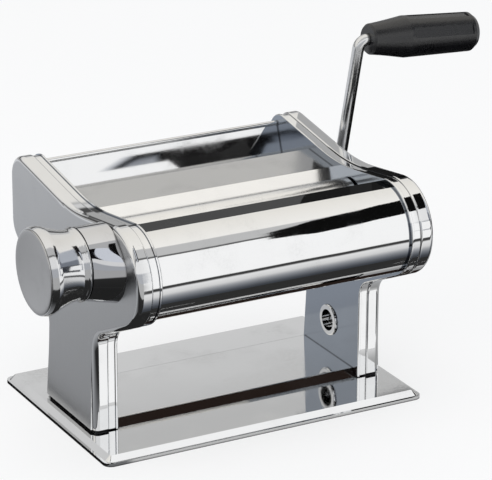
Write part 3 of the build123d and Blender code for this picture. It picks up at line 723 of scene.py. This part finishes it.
rod_finish, tree, shader = bare_metal("drawn_rod", (0.84, 0.845, 0.85), shine=0.16, smear=0.08)
line(tree, shader, (2400.0, 2400.0, 30.0), step=0.000003, rough=0.08)

knob_finish, tree, shader = bare_metal("buffed_knob", (0.78, 0.785, 0.795), shine=0.09, smear=0.07)
waver(tree, shader, scale=60.0, step=0.00003)

cast_chrome, tree, shader = bare_metal("chrome_on_casting", (0.70, 0.705, 0.72), shine=0.03, smear=0.05)
waver(tree, shader, scale=60.0, step=0.00001)
print("finishes:", chrome.name, rod_finish.name, knob_finish.name, cast_chrome.name)

# %% [markdown]
# The side frames are chromed too, but their flat inner faces were never buffed, and look darker and
# bluer. A flat face points along X. The direction of the surface, in the object's own space, tells
# it.

# %% Chrome with dull flats
FLAT_FROM, FLAT_FULL = 0.97, 0.995


def facing(tree, axis):
    """The part of the surface's own direction that lies along an axis."""
    return split(tree, add(tree, "TexCoord").outputs["Normal"])[axis]


def flat_share(tree):
    """1 on a face that points along X, and 0 where the surface rounds away from it."""
    return spread(tree, calculate(tree, "ABSOLUTE", facing(tree, "X")), FLAT_FROM, FLAT_FULL)


def tint(tree, shader, share, colour):
    """Blend a colour into a finish, on top of what it has."""
    socket = shader.inputs["Base Color"]
    tree.links.new(blended(tree, share, socket.links[0].from_socket, colour), socket)


frame_finish, tree, shader = bare_metal("chrome_with_dull_flats", CHROME_COLOUR, shine=0.03, smear=0.07)
flat = flat_share(tree)
tint(tree, shader, flat, (0.36, 0.40, 0.46))
add_rough(tree, shader, flat, amount=0.05)
waver(tree, shader, scale=26.0, step=0.0002)
print("finish:", frame_finish.name)

# %% [markdown]
# The side covers are polished on their rounded edges, but their flat outer faces are satin, with
# faint upright lines.

# %% Satin-faced side covers
SATIN_DARK, SATIN_LIGHT = (0.60, 0.605, 0.61), (0.65, 0.655, 0.66)

side_finish, tree, shader = bare_metal("satin_faced_chrome", (0.87, 0.875, 0.88), shine=0.03, smear=0.07)
flat = flat_share(tree)
satin_lines = place(tree, drawn_lines, Stretch=(900.0, 2600.0, 90.0))["Lines"]
tint(tree, shader, flat, blended(tree, satin_lines, SATIN_DARK, SATIN_LIGHT))
add_rough(tree, shader, flat, amount=0.26)
add_rough(tree, shader, calculate(tree, "MULTIPLY", flat, satin_lines), amount=0.03)
waver(tree, shader, scale=22.0, step=0.0002)
print("finish:", side_finish.name)

# %% [markdown]
# The base, the bridge between the legs and the back wall are mirror-bright pressed sheet. Its mirror
# image wavers, and the rolling of the sheet left the faintest lines along X.

# %% Mirror sheet
sheet_finish, tree, shader = bare_metal("mirror_sheet", (0.86, 0.865, 0.87), shine=0.05, smear=0.08,
                                        marks_scale=30.0)
waver(tree, shader, scale=15.0, step=0.0001)
rolled = place(tree, drawn_lines, Stretch=(25.0, 2600.0, 2600.0))["Lines"]
raise_height(tree, shader, rolled, step=0.0000015)
print("finish:", sheet_finish.name)

# %% [markdown]
# The feed tray is duller: rolled sheet with fine lines along X, rubbed by dough and flour. Its front lip
# turns down towards the roller and faces further forward, and what faces forward is painted bright: a
# painted highlight.

# %% Rolled tray sheet
LIP_FROM, LIP_FULL, LIP_PAINTED_HIGHLIGHT = 0.15, 0.35, (0.97, 0.97, 0.97)

tray_finish, tree, shader = bare_metal("rolled_tray_sheet", (0.57, 0.575, 0.58), shine=0.14, smear=0.10,
                                       marks_scale=38.0)
# Painted highlight: faces that point forward are brightened towards near white.
tint(tree, shader, spread(tree, facing(tree, "Y"), -LIP_FROM, -LIP_FULL), LIP_PAINTED_HIGHLIGHT)
line(tree, shader, (18.0, 3200.0, 3200.0), step=0.000004, rough=0.10)
waver(tree, shader, scale=18.0, step=0.0003)
print("finish:", tray_finish.name)

# %% [markdown]
# ## Rollers, shafts and gears
#
# The rollers are ground to size and left satin, so that dough lets go of them. Grinding leaves
# fine lines round the roller, which change along X only. Gears, shafts and pins are cut steel with
# tool lines and a film of oil. Their edges are bright.

# %% Ground and machined steel
roller_finish, tree, shader = bare_metal("ground_roller", (0.93, 0.93, 0.925), shine=0.20, smear=0.05,
                                         marks_scale=60.0)
line(tree, shader, (5200.0, 60.0, 60.0), step=0.000003, rough=0.10)

machined, tree, shader = bare_metal("cut_steel", (0.60, 0.605, 0.615), shine=0.24, smear=0.14,
                                    marks_scale=120.0)
line(tree, shader, (3000.0, 700.0, 700.0), step=0.000006, rough=0.12)
tint(tree, shader, place(tree, edge_wear, Width=0.0004, Scale=900.0)["Edge"], (0.82, 0.82, 0.82))
print("finishes:", roller_finish.name, machined.name)

# %% [markdown]
# Bushes are sintered bronze: a pressed powder that stays porous and holds oil. Screws and nuts are
# zinc plated, with a crystalline, faintly blue and straw mottle. Cells make both.

# %% Bronze and zinc
ZINC_BLUE, ZINC_STRAW, ZINC_EDGE = (0.60, 0.62, 0.66), (0.72, 0.70, 0.64), (0.86, 0.86, 0.86)

bronze, tree, shader = bare_metal("sintered_bronze", (0.56, 0.43, 0.24), shine=0.34, smear=0.10,
                                  marks_scale=150.0)
grains = place(tree, cell_grain, Scale=4200.0)
add_rough(tree, shader, grains["Tone"], amount=0.15)
raise_height(tree, shader, grains["Height"], step=0.00002)

zinc, tree, shader = bare_metal("zinc_plate", ZINC_BLUE, shine=0.28, smear=0.10, marks_scale=200.0)
crystals = place(tree, cell_grain, Scale=2400.0)
set_sockets(tree, shader, {"Base_Color": blended(tree, crystals["Tone"], ZINC_BLUE, ZINC_STRAW)})
tint(tree, shader, place(tree, edge_wear, Width=0.0003, Scale=1500.0)["Edge"], ZINC_EDGE)
add_rough(tree, shader, crystals["Tone"], amount=0.12)
raise_height(tree, shader, crystals["Height"], step=0.00001)
print("finishes:", bronze.name, zinc.name)

# %% [markdown]
# The knob's face is satin, with rings from the lathe round the knob's axis. The axis is the middle
# of the box of the model's own face disc.

# %% Turned knob face
disc_low, disc_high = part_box("knob_face_disc")
disc_middle = (Vector(disc_low) + Vector(disc_high)) / 2
face_finish, tree, shader = bare_metal("turned_face", (0.60, 0.60, 0.60), shine=0.26, smear=0.06,
                                       marks_scale=70.0)
rings = place(tree, turned_rings, Centre=disc_middle, Rings_per_metre=5200.0)["Rings"]
add_rough(tree, shader, rings, amount=0.06)
raise_height(tree, shader, rings, step=0.0000012)
print("finish:", face_finish.name, "round", [round(v, 4) for v in disc_middle])

# %% [markdown]
# ## Plastic and rubber
#
# The grip is moulded black plastic with a fine grain, and a hand has polished its raised edges.
# The scrapers are off-white nylon, and the feet and gaskets are matte rubber with a trace of flour.

# %% Plastic and rubber
PLASTIC_MARKS = 70.0
WORN_WIDTH, WORN_SCALE, WORN_SHARE = 0.0007, 300.0, 0.5
GRAIN_TONE, GRAIN_ROUGH, MARK_POLISH = 0.2, 0.10, 0.12


def moulded(name, colour, worn, rough, grain, step, gloss=0.5):
    """A moulded plastic or rubber: colours new and worn, roughness, and its grain's scale and height."""
    finish, tree = new_finish(name)
    cells = place(tree, cell_grain, Scale=grain)
    marks = place(tree, handling_marks, Scale=PLASTIC_MARKS)["Marks"]
    edge = place(tree, edge_wear, Width=WORN_WIDTH, Scale=WORN_SCALE)["Edge"]
    tone = blended(tree, calculate(tree, "MULTIPLY", cells["Tone"], GRAIN_TONE), colour, worn)
    tone = blended(tree, calculate(tree, "MULTIPLY", edge, WORN_SHARE), tone, worn)
    grained = calculate(tree, "MULTIPLY_ADD", cells["Tone"], GRAIN_ROUGH, rough)
    polished = calculate(tree, "MULTIPLY_ADD", marks, -MARK_POLISH, grained)
    shader = add(tree, "BsdfPrincipled", Base_Color=tone, Roughness=polished, Specular_IOR_Level=gloss)
    raise_height(tree, shader, cells["Height"], step)
    add(tree, "OutputMaterial", Surface=shader.outputs[0])
    return finish


grip_finish = moulded("black_grip_plastic", (0.004, 0.004, 0.005), (0.030, 0.030, 0.034), rough=0.26,
                      grain=2600.0, step=0.00002, gloss=0.75)
nylon = moulded("off_white_nylon", (0.80, 0.79, 0.75), (0.88, 0.87, 0.84), rough=0.42, grain=1800.0,
                step=0.00001)
rubber = moulded("black_rubber", (0.022, 0.022, 0.022), (0.09, 0.09, 0.088), rough=0.72, grain=1600.0,
                 step=0.00003)
gasket = moulded("gasket_rubber", (0.016, 0.016, 0.019), (0.06, 0.06, 0.065), rough=0.55, grain=2200.0,
                 step=0.00001)
print("finishes:", grip_finish.name, nylon.name, rubber.name, gasket.name)

# %% [markdown]
# ## Dress the pieces
#
# Each piece gets its finish by name. Pieces that share a finish share one material. Four pieces at
# the knob are left over, because they are made anew below.

# %% Dress the pieces
DRESS = {
    chrome: "front_drum_cover clamp_sleeves",
    rod_finish: "crank_rod",
    frame_finish: "left_side_frame right_side_frame",
    side_finish: "left_side_cover right_side_cover",
    sheet_finish: "base_plate leg_bridge_plate back_panel",
    tray_finish: "feed_tray",
    roller_finish: "rear_roller front_roller",
    machined: "rear_roller_gear front_roller_gear idler_gear crank_gear crank_shaft idler_stud idler_clip"
              " eccentric_shaft shaft_nut index_plate index_pin tie_rods grip_retainer",
    bronze: "rear_roller_bushes regulator_bushes crank_shaft_bushes roller_bushes",
    zinc: "tie_rod_screws cover_screws leg_screws leg_nuts",
    grip_finish: "crank_grip grip_end_cap",
    nylon: "front_scraper rear_scraper",
    rubber: "base_feet",
    gasket: "leg_gaskets",
}
for finish, names in DRESS.items():
    for name in names.split():
        nodes[name].data.materials.clear()
        nodes[name].data.materials.append(finish)
dressed = [name for names in DRESS.values() for name in names.split()]
print("dressed:", len(dressed), "left over:", sorted(set(nodes) - set(dressed)))

# %% [markdown]
# ## Knob and collar
#
# The knob and its collar carry the liveliest reflections, so they get finer meshes than the
# construction model's. They are lathe work: a profile of (distance outwards, radius) is turned about
# the knob's axis. One helper turns a profile, and one makes a piece that takes the place of one of
# the model's.

# %% Lathe helpers
PROFILE_STEPS, LATHE_STEPS = 14, 160
SHARP_ANGLE = math.radians(25)


def shares(steps=PROFILE_STEPS):
    """Even shares from just over 0 to 1."""
    return [(k + 1) / steps for k in range(steps)]


def round_axis(x, radius, turn):
    """The point at a place along the knob's axis, a distance from it and a turn about it."""
    return (x, disc_middle.y + radius * math.cos(turn), disc_middle.z + radius * math.sin(turn))


def new_piece(name, corners, faces, finish, body, node):
    """A piece that rides on a body and stands for a node, smooth but for its sharp edges."""
    mesh = bpy.data.meshes.new(name)
    mesh.from_pydata(corners, [], faces)
    mesh.shade_smooth()
    mesh.set_sharp_from_angle(angle=SHARP_ANGLE)
    mesh.materials.append(finish)
    piece = bpy.data.objects.new(name, mesh)
    scene.collection.objects.link(piece)
    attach(piece, body)
    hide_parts(node)
    print(name + ":", len(faces), "faces")
    return piece


def turned_piece(name, start, profile, finish, body, node, trim=None, capped=False):
    """A lathe piece about the knob's axis that rides on a body and stands for a node.

    The profile is a list of (distance outwards from the start, radius). It closes on itself, or its
    two ends are capped with flat rounds. A trim moves corners.
    """
    row, total = len(profile), len(profile) * LATHE_STEPS
    turns = [math.tau * k / LATHE_STEPS for k in range(LATHE_STEPS)]
    corners = [round_axis(start - out, radius, turn) for turn in turns for out, radius in profile]
    corners = [trim(corner) for corner in corners] if trim else corners
    faces = [(k * row + j, k * row + (j + 1) % row, ((k + 1) * row + (j + 1) % row) % total,
              ((k + 1) * row + j) % total) for k in range(LATHE_STEPS) for j in range(row - capped)]
    if capped:
        faces += [tuple(range(0, total, row)), tuple(range(total - 1, 0, -row))]
    new_piece(name, corners, faces, finish, body, node)


# %% [markdown]
# The knob has a rounded ring that faces the collar, a shallow neck, and a hollow flank that swells to
# the full rim. The rim's end is a seat for the face, with a round hollow for the spring behind it.
# The back has a shallow recess.

# %% Knob
RING_WIDTH, RING_RADIUS, RING_CROWN = 0.0024, 0.0203, 0.0005
NECK_AT, NECK_RADIUS = 0.0044, 0.0197
RIM_AT, RIM_RADIUS, RIM_CROWN, RIM_END_RADIUS = 0.0190, 0.0242, 0.0006, 0.0239
KNOB_LENGTH, FACE_WALL, FACE_DEPTH = 0.0250, 0.0006, 0.0018
BACK_RADIUS, BACK_DEPTH = 0.0173, 0.0020
SPRING_RADIUS, SPRING_DEPTH, BORE_RADIUS = 0.0070, 0.0090, 0.0035
FLANK_POWER = 1.4


def knob_profile():
    """The knob's closed profile, from its ring to its rim and back through its hollow."""
    ring = [(RING_WIDTH * s, RING_RADIUS + RING_CROWN * math.sin(math.pi * s)) for s in [0.0] + shares()]
    neck = [(RING_WIDTH + (NECK_AT - RING_WIDTH) * s,
             NECK_RADIUS + (RING_RADIUS - NECK_RADIUS) * (1 + math.cos(math.pi * s)) / 2) for s in shares()]
    flank = [(NECK_AT + (RIM_AT - NECK_AT) * s, NECK_RADIUS + (RIM_RADIUS - NECK_RADIUS) * s**FLANK_POWER)
             for s in shares(2 * PROFILE_STEPS)]
    rim = [(RIM_AT + (KNOB_LENGTH - RIM_AT) * s, RIM_RADIUS + (RIM_END_RADIUS - RIM_RADIUS) * s
            + RIM_CROWN * math.sin(math.pi * s)) for s in shares()]
    seat, floor_at = RIM_END_RADIUS - FACE_WALL, KNOB_LENGTH - FACE_DEPTH
    hollow = [(KNOB_LENGTH, seat), (floor_at, seat), (floor_at, SPRING_RADIUS),
              (SPRING_DEPTH, SPRING_RADIUS), (SPRING_DEPTH, BORE_RADIUS), (BACK_DEPTH, BORE_RADIUS),
              (BACK_DEPTH, BACK_RADIUS), (0.0, BACK_RADIUS)]
    return ring + neck + flank + rim + hollow


turned_piece("turned_knob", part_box("knob_body")[1][0], knob_profile(), knob_finish, "knob", "knob_body")

# %% [markdown]
# The knob's face is dished inside a narrow rim with a rounded edge. The dish shades the face softly.
# It has to be in the mesh, because a flat disc mirrors one even tone.

# %% Knob face
DISH_DEPTH, FACE_RIM, EDGE_ROUND = 0.0020, 0.0006, 0.0008

face_depth, face_radius = disc_high[0] - disc_low[0], (disc_high[2] - disc_low[2]) / 2
round_edge = [(face_depth - EDGE_ROUND * (1 - math.sin(math.pi / 2 * s)),
               face_radius - EDGE_ROUND * (1 - math.cos(math.pi / 2 * s))) for s in [0.0] + shares()]
dish_radius = face_radius - EDGE_ROUND - FACE_RIM
dish = [(face_depth - DISH_DEPTH * (1 - s * s), dish_radius * s) for s in reversed(shares())]
turned_piece("dished_face", disc_high[0], [(0.0, face_radius)] + round_edge + dish, face_finish,
             "knob", "knob_face_disc", capped=True)
print("face", round(face_depth, 4), "deep,", round(face_radius, 4), "in radius")

# %% [markdown]
# The collar is a cup that widens evenly towards the side cover. At the top it stays straight, because
# there it would stand out above the cover's edge. So it is turned as a cone, and the widening is then
# taken back towards the top.

# %% Knob collar
COLLAR_RADIUS, COLLAR_WIDENING = 0.0203, 0.0042
COLLAR_BORE, COLLAR_FLOOR, COLLAR_HOLE = 0.0185, 0.0018, 0.0055
WIDE_BELOW, STRAIGHT_ABOVE = 0.0, 0.7

collar_end, collar_start = (corner[0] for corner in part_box("knob_boss"))
collar_length = collar_start - collar_end
cone = [(collar_length * s, COLLAR_RADIUS + COLLAR_WIDENING * (1 - s)) for s in [0.0] + shares()]
cup = [(collar_length, COLLAR_BORE), (COLLAR_FLOOR, COLLAR_BORE), (COLLAR_FLOOR, COLLAR_HOLE),
       (0.0, COLLAR_HOLE)]


def straight_at_top(corner):
    """A corner of the cone, with less of the widening the further it is towards the top."""
    out = Vector((0.0, corner[1] - disc_middle.y, corner[2] - disc_middle.z))
    if out.length <= COLLAR_RADIUS:
        return corner
    up = min(max((out.z / out.length - WIDE_BELOW) / (STRAIGHT_ABOVE - WIDE_BELOW), 0.0), 1.0)
    kept = 1.0 - up * up * (3.0 - 2.0 * up)
    radius = COLLAR_RADIUS + (out.length - COLLAR_RADIUS) * kept
    return Vector(corner) + out * (radius / out.length - 1.0)


turned_piece("knob_collar", collar_start, cone + cup, cast_chrome, "housing", "knob_boss", straight_at_top)

# %% [markdown]
# A coil spring inside the knob holds it in. Pulling the knob squeezes the spring between the knob and the
# nut on the shaft. Here the coil is built once, to the length of the model's spring, and rides with the
# knob.

# %% Knob spring
WIRE_RADIUS, COIL_RADIUS = 0.0006, 0.0047
COIL_TURNS, COIL_STEPS, WIRE_STEPS = 3, 36, 10

nut_side, seat_side = (corner[0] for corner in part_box("knob_spring"))
coil_length = seat_side - nut_side
steps = COIL_TURNS * COIL_STEPS
corners, faces = [], []
for k in range(steps + 1):
    middle_x = seat_side - WIRE_RADIUS - (coil_length - 2 * WIRE_RADIUS) * k / steps
    for j in range(WIRE_STEPS):
        around = math.tau * j / WIRE_STEPS
        corners.append(round_axis(middle_x - WIRE_RADIUS * math.sin(around),
                                  COIL_RADIUS + WIRE_RADIUS * math.cos(around), math.tau * k / COIL_STEPS))
for here in range(0, steps * WIRE_STEPS, WIRE_STEPS):
    there = here + WIRE_STEPS
    faces += [(here + j, here + (j + 1) % WIRE_STEPS, there + (j + 1) % WIRE_STEPS, there + j)
              for j in range(WIRE_STEPS)]
faces += [tuple(reversed(range(WIRE_STEPS))), tuple(range(steps * WIRE_STEPS, (steps + 1) * WIRE_STEPS))]
coil = new_piece("knob_coil", corners, faces, machined, "knob", "knob_spring")
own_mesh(coil)
